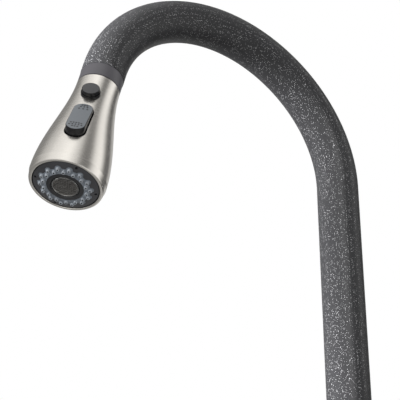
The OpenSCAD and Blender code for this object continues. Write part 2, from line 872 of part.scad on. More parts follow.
module waterway_core() {
    color("#2b2c2f") in_head() difference() {
        union() {
            translate([0, 0, core_u0]) cylinder(h = core_step_u - core_u0, r = core_top_r);
            translate([0, 0, core_step_u]) cylinder(h = chamber_u - core_step_u + cut, r = core_r);
            translate([0, 0, chamber_u]) cylinder(h = chamber_end - chamber_u, r = chamber_r);
        }
        translate([0, 0, core_u0 - cut]) cylinder(h = head_l, r = core_bore);
        translate([0, 0, core_u0 - cut]) cylinder(h = cut + check_t + 0.2, r = check_r + seat_fit);
        translate([spool_x, 0, spool_u0 - spool_travel - 0.6])
            cylinder(h = head_l, r = spool_r + run_fit);
        translate([spool_x + 0.8, -lug_w / 2 - 0.3, spool_notch_u - spool_travel - 2])
            cube([core_r, lug_w + 0.6, spool_travel + 4]);
        translate([0, 0, chamber_u + chamber_wall])
            cylinder(h = head_l, r = chamber_r - chamber_wall);
        on_shell(pause_u) translate([0, 0, -pause_stem_end - 2.4])
            cylinder(h = 20, r = pause_stem_r + run_fit);
        on_shell(pause_u) translate([0, 0, -seal_n - 0.7]) cylinder(h = 20, r = 2.6);
    }
}

module stem_seal() {
    color("#1c1c1e") in_head() on_shell(pause_u) translate([0, 0, -seal_n - 0.1])
        rotate_extrude() translate([pause_stem_r + run_fit + 0.5, 0]) circle(r = 0.5, $fn = 24);
}

module pause_bezel() {
    color("#1a1a1c") in_head() on_shell(pause_u) translate([0, 0, -bezel_floor]) difference() {
        cylinder(h = bezel_floor + bezel_proud, r = bezel_ro);
        translate([0, 0, bezel_floor_t]) cylinder(h = 20, r = bezel_ri);
        translate([0, 0, -cut]) cylinder(h = 20, r = pause_stem_r + 0.3);
    }
}

// Flat coils stand in for the helix, joined by short steps. The spring has its pressed length,
// so that the button's hollow clears it over the whole travel.
module pause_spring() {
    low = -bezel_floor + bezel_floor_t + spring_wire;
    high = cup_n - pause_travel - spring_wire - 0.1;
    color("#a9abad") in_head() on_shell(pause_u) for (i = [0:spring_turns - 1]) {
        z = low + (high - low) * i / (spring_turns - 1);
        translate([0, 0, z]) rotate_extrude() translate([spring_r, 0])
            circle(r = spring_wire, $fn = 24);
        if (i < spring_turns - 1) rotate([0, 0, i * 180]) translate([spring_r, 0, z])
            cylinder(h = (high - low) / (spring_turns - 1), r = spring_wire * 0.8, $fn = 24);
    }
}

module pause_button() {
    edge = 0.5;
    color("#5a5b5f") in_head() on_shell(pause_u) translate([0, 0, -pause_skirt]) difference() {
        union() {
            cylinder(h = pause_skirt + pause_proud - edge, r = pause_d / 2);
            translate([0, 0, pause_skirt + pause_proud - edge])
                cylinder(h = edge, r1 = pause_d / 2, r2 = pause_d / 2 - edge);
        }
        translate([0, 0, -cut]) cylinder(h = pause_skirt + cup_n + cut, r = cup_r);
        cylinder(h = pause_skirt + stem_top + seat_fit, r = pause_stem_r + seat_fit);
    }
}

module pause_stem() {
    color("#d8d5cc") in_head() on_shell(pause_u) translate([0, 0, -pause_stem_end])
        cylinder(h = pause_stem_end + stem_top, r = pause_stem_r);
}

module rocker_cradle() {
    u0 = rocker_u - rocker_l / 2 - 3;
    u1 = rocker_u + rocker_l / 2 + 3;
    color("#1a1a1c") in_head() intersection() {
        translate([0, 0, u0]) cylinder(
            h = u1 - u0,
            r1 = shell_r(u0) - shell_wall - 0.15,
            r2 = shell_r(u1) - shell_wall - 0.15
        );
        on_shell(rocker_u) difference() {
            translate([0, 0, -cradle_floor]) linear_extrude(cradle_floor + 2)
                stadium(rocker_l + 2 * cradle_out, rocker_w + 2 * cradle_out);
            translate([0, 0, -cradle_floor + cradle_floor_t]) linear_extrude(20)
                stadium(rocker_l + 2 * rocker_gap, rocker_w + 2 * rocker_gap);
            translate([-4, -lug_w / 2 - 0.4, -cradle_floor - cut]) cube([8, lug_w + 0.8, 4]);
            translate([0, -rocker_w, -pivot_n]) rotate([-90, 0, 0])
                cylinder(h = 2 * rocker_w, r = rocker_pin_r + 0.02);
        }
    }
}

module rocker_pin() {
    pin_l = rocker_w + 2 * cradle_out - 1.2;
    color("#a9abad") in_head() on_shell(rocker_u) translate([0, -pin_l / 2, -pivot_n])
        rotate([-90, 0, 0]) cylinder(h = pin_l, r = rocker_pin_r);
}

// The rocker rests with its neck end pressed in
module rocker_button() {
    edge = 0.5;
    color("#8b9299") in_head() on_shell(rocker_u)
        translate([0, 0, -pivot_n]) rotate([0, rocker_tilt, 0]) difference() {
            union() {
                translate([0, 0, pivot_n - rocker_under])
                    linear_extrude(rocker_under + rocker_proud - edge) stadium(rocker_l, rocker_w);
                translate([0, 0, pivot_n + rocker_proud - edge - 0.01])
                    linear_extrude(edge) stadium(rocker_l - 2 * edge, rocker_w - 2 * edge);
                translate([0, -rocker_w / 2 + 0.6, 0]) rotate([-90, 0, 0])
                    cylinder(h = rocker_w - 1.2, r = rocker_bar_r);
                translate([-lug_t / 2, -lug_w / 2, -lug_l]) cube([lug_t, lug_w, lug_l]);
                translate([0, -lug_w / 2, -lug_l]) rotate([-90, 0, 0])
                    cylinder(h = lug_w, r = lug_r);
            }
            translate([0, -rocker_w, 0]) rotate([-90, 0, 0])
                cylinder(h = 2 * rocker_w, r = rocker_pin_r + run_fit);
        }
}

// Two seal grooves on the spool, by their distance from its upper end
spool_grooves = [4, spool_l - 4];

module diverter_spool() {
    color("#d8d5cc") in_head() translate([spool_x, 0, spool_u0]) difference() {
        cylinder(h = spool_l, r = spool_r);
        translate([0, 0, spool_notch_u - spool_u0 - spool_notch / 2])
            pipe(spool_notch, spool_r + cut, 0.7);
        for (g = spool_grooves) translate([0, 0, g - 0.6]) pipe(1.2, spool_r + cut, 1.55);
    }
}

module spool_seals() {
    color("#1c1c1e") in_head() for (g = spool_grooves)
        translate([spool_x, 0, spool_u0 + g]) rotate_extrude() translate([2.1, 0])
            circle(r = 0.48, $fn = 24);
}

// ---- spray face ----

// Solid under the domed face, cut off at height u0, out to radius r
module under_face(r, u0, lift = 0) {
    steps = 12;
    rotate_extrude() polygon(concat(
        [[0, u0], [r, u0]],
        [for (i = [steps:-1:0]) let (x = r * i / steps) [x, face_h(x) + lift]]
    ));
}

// Outline of the nozzle ring: a band with a bump around each outer nozzle
module scallops(grow) {
    circle(r = outer_nozzle_r + grow);
    for (i = [0:nozzle_n - 1]) rotate([0, 0, (i + 0.5) * 360 / nozzle_n])
        translate([outer_nozzle_r, 0]) circle(r = scallop_r + grow, $fn = 32);
}

module face_seal() {
    color("#1c1c1e") in_head() translate([0, 0, chamber_end + 0.5])
        rotate_extrude() translate([chamber_r - 0.8, 0]) circle(r = 0.45, $fn = 24);
}

module face_plate() {
    color("#3a3a3e") in_face() difference() {
        under_face(face_r, plate_u);
        translate([0, 0, plate_u - cut]) linear_extrude(20) scallops(0.15);
        for (a = plate_hole_at) rotate([0, 0, a])
            translate([plate_hole_pitch, 0, plate_u + 2]) cylinder(h = 10, r = plate_hole_r);
    }
}

module nozzle_ring() {
    nozzles = [[inner_nozzle_r, 0], [outer_nozzle_r, 0.5]];
    color("#8c959e") in_face() difference() {
        union() {
            intersection() {
                under_face(face_r, ring_flange_u);
                translate([0, 0, ring_flange_u]) linear_extrude(20) scallops(0);
            }
            translate([0, 0, ring_flange_u]) cylinder(h = plate_u - 0.1 - ring_flange_u, r = chamber_r - 1.7);
            for (circle_of = nozzles, i = [0:nozzle_n - 1])
                rotate([0, 0, (i + circle_of[1]) * 360 / nozzle_n])
                    translate([circle_of[0], 0, face_h(circle_of[0]) - 0.8])
                        cylinder(h = nozzle_h + 0.8, r1 = nozzle_r0, r2 = nozzle_r1, $fn = 24);
        }
        translate([0, 0, ring_flange_u - cut]) cylinder(h = 20, r = nozzle_ring_ri);
        for (circle_of = nozzles, i = [0:nozzle_n - 1])
            rotate([0, 0, (i + circle_of[1]) * 360 / nozzle_n])
                translate([circle_of[0], 0, ring_flange_u - cut])
                    cylinder(h = 20, r = nozzle_bore, $fn = 16);
    }
}

module hub_ring() {
    bevel = 0.8;
    color("#303134") in_face() difference() {
        under_face(hub_ro, ring_flange_u);
        translate([0, 0, ring_flange_u - cut]) cylinder(h = 20, r = hub_ri_face);
        translate([0, 0, face_h(hub_ri_face) - bevel])
            cylinder(h = bevel + cut, r1 = hub_ri_face, r2 = hub_ri_face + bevel + cut);
    }
}

module aerator_housing() {
    rim_u = face_h(aerator_r) - 0.5;
    color("#b9b8b4") in_face() difference() {
        translate([0, 0, aerator_u0]) cylinder(h = rim_u - aerator_u0, r = aerator_r);
        translate([0, 0, aerator_u0 + 3]) cylinder(h = 30, r = aerator_r - aerator_wall);
        for (a = [0:60:300]) rotate([0, 0, a]) translate([5, 0, aerator_u0 - cut])
            cylinder(h = 6, r = 1.2);
    }
}

module aerator_mesh() {
    mesh_r = aerator_r - aerator_wall - 0.05;
    mesh_u = face_h(aerator_r) - 1.4;
    n = floor(mesh_r / mesh_pitch);
    color("#4a4b4d") in_face() translate([0, 0, mesh_u]) {
        pipe(0.6, mesh_r, mesh_r - 0.5);
        linear_extrude(0.5) intersection() {
            circle(r = mesh_r - 0.2);
            for (i = [-n:n], turn = [0, 90]) rotate([0, 0, turn])
                translate([i * mesh_pitch - mesh_wire / 2, -mesh_r]) square([mesh_wire, 2 * mesh_r]);
        }
    }
}

// ---- what is drawn ----

base_gasket();
base_flange();
shank();
rubber_washer();
steel_washer();
mounting_nut();
clamp_screws();
body_shell();
upper_bush();
lower_bush();
friction_ring();
valve_body();
cartridge_seal();
fixed_disc();
cartridge_housing();
cartridge_nut();
bonnet_dome();
hot_tail();
cold_tail();
outlet_tail();
spray_hose_lower();
hose_plug();
moving_disc();
disc_slider();
cartridge_turret();
tilt_pin();
cartridge_stem();
handle_hub();
lever_rod();
handle_set_screw();
handle_plug();
spout_tube();
spout_foot_ring();
retaining_clip();
dock_sleeve();
dock_magnet();
spray_hose_upper();
hose_ferrule();
neck_sleeve();
strike_ring();
socket_nut();
check_valve();
spray_shell();
waterway_core();
stem_seal();
pause_bezel();
pause_spring();
rocker_cradle();
rocker_pin();
face_seal();
face_plate();
nozzle_ring();
hub_ring();
aerator_housing();
aerator_mesh();
pause_button();
pause_stem();
rocker_button();
diverter_spool();
spool_seals();
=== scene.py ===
import json
import math
import bmesh
import bpy
from mathutils import Matrix, Vector


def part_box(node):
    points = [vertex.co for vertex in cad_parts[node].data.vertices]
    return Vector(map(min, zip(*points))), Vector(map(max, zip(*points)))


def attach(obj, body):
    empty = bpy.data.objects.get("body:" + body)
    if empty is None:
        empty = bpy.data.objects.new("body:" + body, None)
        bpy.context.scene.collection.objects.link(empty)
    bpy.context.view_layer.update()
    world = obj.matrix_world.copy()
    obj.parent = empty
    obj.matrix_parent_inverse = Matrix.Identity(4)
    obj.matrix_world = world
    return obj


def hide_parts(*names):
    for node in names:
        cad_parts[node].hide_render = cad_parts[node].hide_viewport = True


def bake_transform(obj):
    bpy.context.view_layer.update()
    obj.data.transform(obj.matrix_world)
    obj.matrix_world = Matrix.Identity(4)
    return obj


# Pull-down kitchen faucet. Outlines are in millimetres, finished pieces in metres.

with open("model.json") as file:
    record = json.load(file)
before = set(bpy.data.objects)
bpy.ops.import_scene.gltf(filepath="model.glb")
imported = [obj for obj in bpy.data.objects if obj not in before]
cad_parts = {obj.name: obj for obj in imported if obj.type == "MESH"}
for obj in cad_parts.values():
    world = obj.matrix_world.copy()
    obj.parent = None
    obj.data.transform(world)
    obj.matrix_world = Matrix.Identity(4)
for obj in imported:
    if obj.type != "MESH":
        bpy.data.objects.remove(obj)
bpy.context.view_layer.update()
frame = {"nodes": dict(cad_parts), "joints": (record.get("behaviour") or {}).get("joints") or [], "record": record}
mm = 0.001
joints = {joint["name"]: joint for joint in frame["joints"]}
bodies = frame["record"]["behaviour"]["bodies"]
bodyOf = {node: body for body, nodes in bodies.items() for node in nodes}
slotOf = {part["node"]: part["material_slot"] for part in frame["record"]["subparts"]}
scene = bpy.context.scene
materials = {}

# ---- camera ----

cameraSetup = {
    "place": (0.72105, -0.59517, -0.31226), "target": (-0.02675, -0.10209, 0.27229),
    "roll": 0.25, "lens": 138.1, "sensor": 36,
}


def placeCamera(setup):
    data = bpy.data.cameras.new("camera")
    data.lens = setup["lens"]
    data.sensor_width = setup["sensor"]
    camera = bpy.data.objects.new("camera", data)
    scene.collection.objects.link(camera)
    sight = Vector(setup["target"]) - Vector(setup["place"])
    turn = sight.to_track_quat("-Z", "Y").to_matrix().to_4x4()
    camera.matrix_world = (Matrix.Translation(setup["place"]) @ turn
                           @ Matrix.Rotation(math.radians(setup["roll"]), 4, "Z"))
    scene.camera = camera


placeCamera(cameraSetup)
print("camera placed")

# ---- frames of the spout's outlet, the docked head and its buttons ----

outletDir = Vector(joints["spray_pull"]["axis"]).normalized()
rockerAxis = -Vector(joints["rocker_tilt"]["axis"]).normalized()
buttonDir = rockerAxis.cross(outletDir)
headSizes = {
    "ballDepth": 6.2, "neck": 14.8, "rim": 25.4, "flare": 80, "length": 86.9,
    "band": 5.5, "taper": 0.85, "step": 0.15, "lip": 1.1, "mouth": 22.2, "wall": 1.6,
    "seam": 0.9, "inner": 79, "pauseAt": 19.8, "rockerAt": 50, "crease": 9,
}


def frameAt(origin, across, along):
    aside = along.cross(across)
    return Matrix.Translation(origin) @ Matrix((across, aside, along)).transposed().to_4x4()


seamPoint = Vector(joints["head_swivel"]["pos_m"]) - outletDir * headSizes["ballDepth"] * mm
headFrame = frameAt(seamPoint, buttonDir, outletDir)
faceFrame = headFrame @ Matrix.Rotation(math.radians(2), 4, "Z")


def ease(share):
    return 3 * share ** 2 - 2 * share ** 3


def shellRadius(depth):
    size = headSizes
    return size["neck"] + (size["rim"] - size["neck"]) * ease(min(1, depth / size["flare"]))


def onShell(depth):
    # +Z out of the shell, +X towards the neck
    share = depth / headSizes["flare"]
    rise = (headSizes["rim"] - headSizes["neck"]) * 6 * share * (1 - share) / headSizes["flare"]
    return (headFrame @ Matrix.Translation((shellRadius(depth) * mm, 0, depth * mm))
            @ Matrix.Rotation(math.pi / 2 + math.atan(rise), 4, "Y"))


# ---- shaping helpers ----

def merged(bm):
    bmesh.ops.remove_doubles(bm, verts=bm.verts[:], dist=1e-4)
    bmesh.ops.recalc_face_normals(bm, faces=bm.faces[:])
    return bm


def turned(outline, steps=128):
    # outline: (radius, height) or (radius, height, rounding), going round a closed section
    bm = bmesh.new()
    corners = [bm.verts.new((point[0], 0, point[1])) for point in outline]
    bm.faces.new(corners)
    for corner, point in zip(corners, outline):
        if len(point) > 2:
            bmesh.ops.bevel(bm, geom=[corner], offset=point[2], offset_type="OFFSET",
                            segments=4, profile=0.5, affect="VERTICES", material=-1)
    bmesh.ops.delete(bm, geom=bm.faces[:], context="FACES_ONLY")
    onAxis = [edge for edge in bm.edges if all(abs(v.co.x) < 1e-6 for v in edge.verts)]
    bmesh.ops.delete(bm, geom=onAxis, context="EDGES")
    bmesh.ops.spin(bm, geom=bm.verts[:] + bm.edges[:], cent=(0, 0, 0), axis=(0, 0, 1),
                   dvec=(0, 0, 0), angle=2 * math.pi, steps=steps, use_merge=True)
    return merged(bm)


def slab(length, width, low, high, rounding=0, sides=50):
    # flat block with round ends
    bm = bmesh.new()
    bmesh.ops.create_circle(bm, cap_ends=True, segments=sides, radius=width / 2)
    for vert in bm.verts:
        vert.co.x += math.copysign((length - width) / 2, vert.co.x)
        vert.co.z = low
    thicken(bm, high - low)
    if rounding:
        rim = [edge for edge in bm.edges if all(v.co.z > high - 1e-4 for v in edge.verts)]
        bmesh.ops.bevel(bm, geom=rim, offset=rounding, segments=4, profile=0.5,
                        affect="EDGES", material=-1)
    return merged(bm)


def pin(radius, low, high, sides=64):
    return turned([(0, low), (radius, low), (radius, high), (0, high)], sides)


def tubeStart(radius, place, sides):
    # the first loop of a tube
    bm = bmesh.new()
    bmesh.ops.create_circle(bm, cap_ends=False, segments=sides, radius=radius, matrix=place)
    return bm


def grow(bm, edges, way):
    # carries a loop of edges along, and returns the new loop
    grown = bmesh.ops.extrude_edge_only(bm, edges=edges)["geom"]
    verts = [item for item in grown if isinstance(item, bmesh.types.BMVert)]
    bmesh.ops.translate(bm, verts=verts, vec=way)
    return [item for item in grown if isinstance(item, bmesh.types.BMEdge)]


def thicken(bm, height):
    # carries the faces up
    grown = bmesh.ops.extrude_face_region(bm, geom=bm.faces[:])["geom"]
    top = [item for item in grown if isinstance(item, bmesh.types.BMVert)]
    bmesh.ops.translate(bm, verts=top, vec=(0, 0, height))


def middleOf(node):
    low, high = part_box(node)
    return Vector((low + high) / 2)


def smoothed(mesh, angle=32):
    mesh.polygons.foreach_set("use_smooth", [True] * len(mesh.polygons))
    mesh.set_sharp_from_angle(angle=math.radians(angle))


def objectFrom(bm, name, place):
    bm.transform(place @ Matrix.Scale(mm, 4))
    mesh = bpy.data.meshes.new(name)
    bm.to_mesh(mesh)
    bm.free()
    made = bpy.data.objects.new(name, mesh)
    scene.collection.objects.link(made)
    return made


def bakeModifiers(piece):
    seen = bpy.context.evaluated_depsgraph_get()
    mesh = bpy.data.meshes.new_from_object(piece.evaluated_get(seen))
    piece.modifiers.clear()
    piece.data = mesh


def carve(piece, tool, place, how="DIFFERENCE"):
    cutter = objectFrom(tool, "cutter", place)
    step = piece.modifiers.new("carve", "BOOLEAN")
    step.object = cutter
    step.operation = how
    step.solver = "EXACT"
    bakeModifiers(piece)
    bpy.data.objects.remove(cutter)


def finishPiece(piece, nodes, finishes, crease=32):
    # rides with the first node that it stands for, and hides the nodes
    if not piece.data.materials:
        for finish in finishes:
            piece.data.materials.append(materials[finish])
    smoothed(piece.data, crease)
    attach(piece, bodyOf[nodes[0]])
    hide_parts(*nodes)
    return piece


def makePiece(bm, name, place, nodes, *finishes):
    return finishPiece(objectFrom(bm, name, place), nodes, finishes)


# ---- node helpers ----

def add(tree, kind, settings=None, inputs=None):
    node = tree.nodes.new(kind)
    for key, value in (settings or {}).items():
        setattr(node, key, value)
    for key, value in (inputs or {}).items():
        if isinstance(value, bpy.types.NodeSocket):
            tree.links.new(value, node.inputs[key])
        else:
            node.inputs[key].default_value = value
    return node


def sums(tree, operation, first, second=0.0, third=0.0):
    return add(tree, "ShaderNodeMath", {"operation": operation},
               {0: first, 1: second, 2: third}).outputs[0]


def blended(tree, share, low, high):
    # colour between low and high
    mix = add(tree, "ShaderNodeMix", {"data_type": "RGBA"}, {0: share, 6: low, 7: high})
    return mix.outputs[2]


def between(tree, share, low, high):
    return add(tree, "ShaderNodeMapRange", None,
               {"Value": share, "To Min": low, "To Max": high}).outputs[0]


def rgba(colour):
    return (*colour, 1.0)


def newGroup(name, numbers, outputs):
    tree = bpy.data.node_groups.new(name, "ShaderNodeTree")
    tree.interface.new_socket("Vector", in_out="INPUT", socket_type="NodeSocketVector")
    for label, value in numbers.items():
        socket = tree.interface.new_socket(label, in_out="INPUT", socket_type="NodeSocketFloat")
        socket.default_value = value
    for label, kind in outputs.items():
        tree.interface.new_socket(label, in_out="OUTPUT", socket_type=kind)
    return tree, tree.nodes.new("NodeGroupInput"), tree.nodes.new("NodeGroupOutput")


def flecksGroup():
    # small bright flakes: a share of the cells of a fine cell pattern
    tree, inlet, outlet = newGroup("flecks", {"Scale": 1500.0, "Share": 0.1, "Size": 0.3},
                                   {"Mask": "NodeSocketFloat", "Tint": "NodeSocketFloat",
                                    "Lean": "NodeSocketVector"})
    cells = add(tree, "ShaderNodeTexVoronoi", None,
                {"Vector": inlet.outputs["Vector"], "Scale": inlet.outputs["Scale"]})
    parts = add(tree, "ShaderNodeSeparateColor", None, {0: cells.outputs["Color"]})
    chosen = sums(tree, "LESS_THAN", parts.outputs[0], inlet.outputs["Share"])
    near = sums(tree, "LESS_THAN", cells.outputs["Distance"], inlet.outputs["Size"])
    tree.links.new(sums(tree, "MULTIPLY", chosen, near), outlet.inputs["Mask"])
    tree.links.new(parts.outputs[1], outlet.inputs["Tint"])
    lean = add(tree, "ShaderNodeVectorMath", {"operation": "SUBTRACT"},
               {0: cells.outputs["Color"], 1: (0.5, 0.5, 0.5)})
    tree.links.new(lean.outputs[0], outlet.inputs["Lean"])
    return tree


def brushingGroup():
    # fine lines that run round the local Z axis, with broad soft bands among them
    tree, inlet, outlet = newGroup("brushing", {"Fineness": 5000.0, "Length": 60.0},
                                   {"Lines": "NodeSocketFloat", "Bands": "NodeSocketFloat"})
    stretch = add(tree, "ShaderNodeCombineXYZ", None, {
        0: inlet.outputs["Length"], 1: inlet.outputs["Length"], 2: inlet.outputs["Fineness"]})
    drawn = add(tree, "ShaderNodeVectorMath", {"operation": "MULTIPLY"},
                {0: inlet.outputs["Vector"], 1: stretch.outputs[0]})
    lines = add(tree, "ShaderNodeTexNoise", None,
                {"Vector": drawn.outputs[0], "Scale": 1.0, "Detail": 3.0})
    broad = add(tree, "ShaderNodeVectorMath", {"operation": "MULTIPLY"},
                {0: drawn.outputs[0], 1: (0.5, 0.5, 0.06)})
    bands = add(tree, "ShaderNodeTexNoise", None,
                {"Vector": broad.outputs[0], "Scale": 1.0, "Detail": 2.0})
    tree.links.new(lines.outputs[0], outlet.inputs["Lines"])
    tree.links.new(bands.outputs[0], outlet.inputs["Bands"])
    return tree


def grainGroup():
    # fine moulded or cast texture, with slow patches of wear over it
    tree, inlet, outlet = newGroup("grain", {"Scale": 2500.0, "Patches": 60.0},
                                   {"Height": "NodeSocketFloat", "Patch": "NodeSocketFloat"})
    fine = add(tree, "ShaderNodeTexNoise", None,
               {"Vector": inlet.outputs["Vector"], "Scale": inlet.outputs["Scale"], "Detail": 2.0})
    slow = add(tree, "ShaderNodeTexNoise", None,
               {"Vector": inlet.outputs["Vector"], "Scale": inlet.outputs["Patches"], "Detail": 4.0})
    tree.links.new(fine.outputs[0], outlet.inputs["Height"])
    tree.links.new(slow.outputs[0], outlet.inputs["Patch"])
    return tree


def braidGroup():
    # two crossing sets of strands round the local Z axis
    tree, inlet, outlet = newGroup("braid", {"Strands": 16.0, "Pitch": 900.0},
                                   {"Height": "NodeSocketFloat", "Crossing": "NodeSocketFloat"})
    axes = add(tree, "ShaderNodeSeparateXYZ", None, {0: inlet.outputs["Vector"]})
    around = sums(tree, "MULTIPLY", sums(tree, "ARCTAN2", axes.outputs[1], axes.outputs[0]),
                  inlet.outputs["Strands"])
    along = sums(tree, "MULTIPLY", axes.outputs[2], inlet.outputs["Pitch"])
    left = sums(tree, "ABSOLUTE", sums(tree, "SINE", sums(tree, "ADD", around, along)))
    right = sums(tree, "ABSOLUTE", sums(tree, "SINE", sums(tree, "SUBTRACT", around, along)))
    tree.links.new(sums(tree, "MAXIMUM", left, right), outlet.inputs["Height"])
    tree.links.new(sums(tree, "MULTIPLY", left, right), outlet.inputs["Crossing"])
    return tree


groups = {"flecks": flecksGroup(), "brushing": brushingGroup(), "grain": grainGroup(),
          "braid": braidGroup()}


def startMaterial(name, place=None):
    # returns the material's tree, its shader and a point socket in the frame of place
    material = bpy.data.materials.new(name)
    material.use_nodes = True
    materials[name] = material
    tree = material.node_tree
    point = add(tree, "ShaderNodeTexCoord").outputs["Object"]
    if place is not None:
        back = place.inverted()
        point = add(tree, "ShaderNodeMapping", None, {
            "Vector": point, "Location": back.to_translation(),
            "Rotation": back.to_euler()}).outputs[0]
    return tree, tree.nodes["Principled BSDF"], point


def useGroup(tree, name, point, **values):
    node = add(tree, "ShaderNodeGroup", {"node_tree": groups[name]}, {"Vector": point})
    for label, value in values.items():
        node.inputs[label].default_value = value
    return node.outputs


def bump(tree, shader, height, strength, depth, normal=None):
    inputs = {"Height": height, "Strength": strength, "Distance": depth * mm}
    if normal is not None:
        inputs["Normal"] = normal
    tree.links.new(add(tree, "ShaderNodeBump", None, inputs).outputs[0], shader.inputs["Normal"])


def connect(tree, shader, **sockets):
    for label, value in sockets.items():
        target = shader.inputs[label.replace("_", " ")]
        if isinstance(value, bpy.types.NodeSocket):
            tree.links.new(value, target)
        else:
            target.default_value = value


def moulded(name, colour, rough=0.45, scale=2500, depth=0.02, metallic=0.0, specular=0.5,
            variation=0.18, coat=0.0, subsurface=0.0):
    tree, shader, point = startMaterial(name)
    grain = useGroup(tree, "grain", point, Scale=scale)
    dark = tuple(channel * (1 - variation) for channel in colour)
    pale = tuple(min(1, channel * (1 + variation)) for channel in colour)
    connect(tree, shader, Base_Color=blended(tree, grain["Patch"], rgba(dark), rgba(pale)),
            Roughness=between(tree, grain["Patch"], rough - 0.07, rough + 0.07),
            Metallic=metallic, Specular_IOR_Level=specular, Coat_Weight=coat, Coat_Roughness=0.2,
            Subsurface_Weight=subsurface, Subsurface_Scale=0.002)
    bump(tree, shader, grain["Height"], 0.35, depth)


def brushed(name, colour, place=None, rough=0.3, fineness=5000, length=60, depth=0.01,
            streak=0.14):
    tree, shader, point = startMaterial(name, place)
    brushing = useGroup(tree, "brushing", point, Fineness=fineness, Length=length)
    lines, bands = brushing["Lines"], brushing["Bands"]
    dark = tuple(channel * (1 - streak) for channel in colour)
    pale = tuple(min(1, channel * (1 + streak)) for channel in colour)
    mixed = sums(tree, "MULTIPLY_ADD", lines, 0.6, sums(tree, "MULTIPLY", bands, 0.4))
    connect(tree, shader, Base_Color=blended(tree, mixed, rgba(dark), rgba(pale)), Metallic=1.0,
            Roughness=between(tree, lines, rough - 0.06, rough + 0.08))
    bump(tree, shader, lines, 0.25, depth)


def fleckedCoat():
    look = {"coat": (0.020, 0.020, 0.0215), "patch": (0.026, 0.026, 0.028),
            "fleck": (0.74, 0.74, 0.76), "rough": 0.44, "scale": 1500, "share": 0.35,
            "size": 0.30, "lean": 0.5, "metal": 0.5}
    tree, shader, point = startMaterial("coat")
    grain = useGroup(tree, "grain", point, Scale=1800, Patches=35)
    flecks = useGroup(tree, "flecks", point, Scale=look["scale"], Share=look["share"],
                      Size=look["size"])
    ground = blended(tree, grain["Patch"], rgba(look["coat"]), rgba(look["patch"]))
    shine = sums(tree, "MULTIPLY", flecks["Mask"], flecks["Tint"])
    normal = add(tree, "ShaderNodeNewGeometry").outputs["Normal"]
    reach = sums(tree, "MULTIPLY", flecks["Mask"], look["lean"])
    lean = add(tree, "ShaderNodeVectorMath", {"operation": "SCALE"},
               {0: flecks["Lean"], "Scale": reach})
    tilted = add(tree, "ShaderNodeVectorMath", {"operation": "ADD"},
                 {0: normal, 1: lean.outputs[0]})
    straight = add(tree, "ShaderNodeVectorMath", {"operation": "NORMALIZE"},
                   {0: tilted.outputs[0]})
    connect(tree, shader, Base_Color=blended(tree, shine, ground, rgba(look["fleck"])),
            Metallic=sums(tree, "MULTIPLY", shine, look["metal"]), Specular_IOR_Level=0.28,
            Roughness=between(tree, flecks["Mask"], look["rough"], 0.26))
    bump(tree, shader, grain["Height"], 0.4, 0.035, straight.outputs[0])


def nylonBraid(name, place):
    tree, shader, point = startMaterial(name, place)
    braid = useGroup(tree, "braid", point, Strands=12, Pitch=1500)
    dark, pale = rgba((0.03, 0.03, 0.033)), rgba((0.2, 0.205, 0.22))
    connect(tree, shader, Base_Color=blended(tree, braid["Height"], dark, pale),
            Roughness=between(tree, braid["Crossing"], 0.42, 0.62), Sheen_Weight=0.2)
    bump(tree, shader, braid["Height"], 0.6, 0.25)


fleckedCoat()
brushed("headSteel", (0.82, 0.785, 0.74), headFrame, rough=0.25, fineness=9000, length=90,
        depth=0.004, streak=0.07)
leverFrame = frameAt(middleOf("lever_rod"), Vector((1, 0, 0)), Vector((0, -1, 0)))
brushed("leverSteel", (0.70, 0.68, 0.64), leverFrame, rough=0.26)
brushed("plainSteel", (0.62, 0.62, 0.62), None, rough=0.3, fineness=2500, length=900, depth=0.02)
brushed("aeratorSteel", (0.72, 0.72, 0.71), headFrame, rough=0.24)
brushed("brass", (0.72, 0.55, 0.30), None, rough=0.33, fineness=3500, length=120, depth=0.02)
brushed("copper", (0.72, 0.42, 0.30), None, rough=0.34, fineness=900, length=900, depth=0.02)
moulded("dock", (0.098, 0.094, 0.106), rough=0.42, scale=4000, depth=0.008, variation=0.06)
moulded("ceramic", (0.86, 0.84, 0.80), rough=0.2, scale=4000, depth=0.004, variation=0.04)
moulded("magnet", (0.10, 0.10, 0.105), rough=0.5, scale=3500, variation=0.15)
moulded("rubber", (0.022, 0.022, 0.023), rough=0.68, scale=1800, depth=0.05, specular=0.35)
moulded("silicone", (0.165, 0.185, 0.215), rough=0.36, scale=2200, depth=0.015, variation=0.12, coat=0.15)
moulded("nozzleTip", (0.36, 0.39, 0.43), rough=0.3, scale=2200, depth=0.01, variation=0.12, coat=0.3)
moulded("facePlastic", (0.040, 0.040, 0.045), rough=0.38, scale=3000, depth=0.012)
moulded("blackPlastic", (0.016, 0.016, 0.018), rough=0.38, scale=3000, depth=0.012)
moulded("glossBlack", (0.006, 0.006, 0.007), rough=0.24, scale=3000, depth=0.004, specular=0.35)
# black plastic lightened to grey on the knob's top as painted sheen
moulded("knobTopSheen", (0.050, 0.050, 0.054), rough=0.4, scale=3200, depth=0.012, variation=0.1)
moulded("rockerTop", (0.165, 0.18, 0.20), rough=0.42, scale=3200, depth=0.015, variation=0.08)
# near-black painted shade for the dimples on the rocker
moulded("paintedDimpleShade", (0.008, 0.008, 0.009), rough=0.4, scale=4000, depth=0.005)
moulded("palePlastic", (0.78, 0.76, 0.72), rough=0.42, variation=0.04, subsurface=0.1)
moulded("bluePlastic", (0.06, 0.17, 0.42), rough=0.35, variation=0.1)
moulded("plugGrey", (0.25, 0.26, 0.28), rough=0.3, variation=0.08)
moulded("wire", (0.26, 0.25, 0.24), rough=0.35, metallic=1.0, scale=4000, depth=0.005)
# near-black painted shade for the insides of holes and hollows
moulded("paintedHollowShade", (0.012, 0.012, 0.013), rough=0.6)
moulded("paleFloor", (0.93, 0.93, 0.92), rough=0.7, scale=30, depth=0.2, variation=0.02)
floorTree = materials["paleFloor"].node_tree
connect(floorTree, floorTree.nodes["Principled BSDF"], Emission_Color=(1, 1, 1, 1),
        Emission_Strength=0.3)
nylonBraid("outletBraid", headFrame)
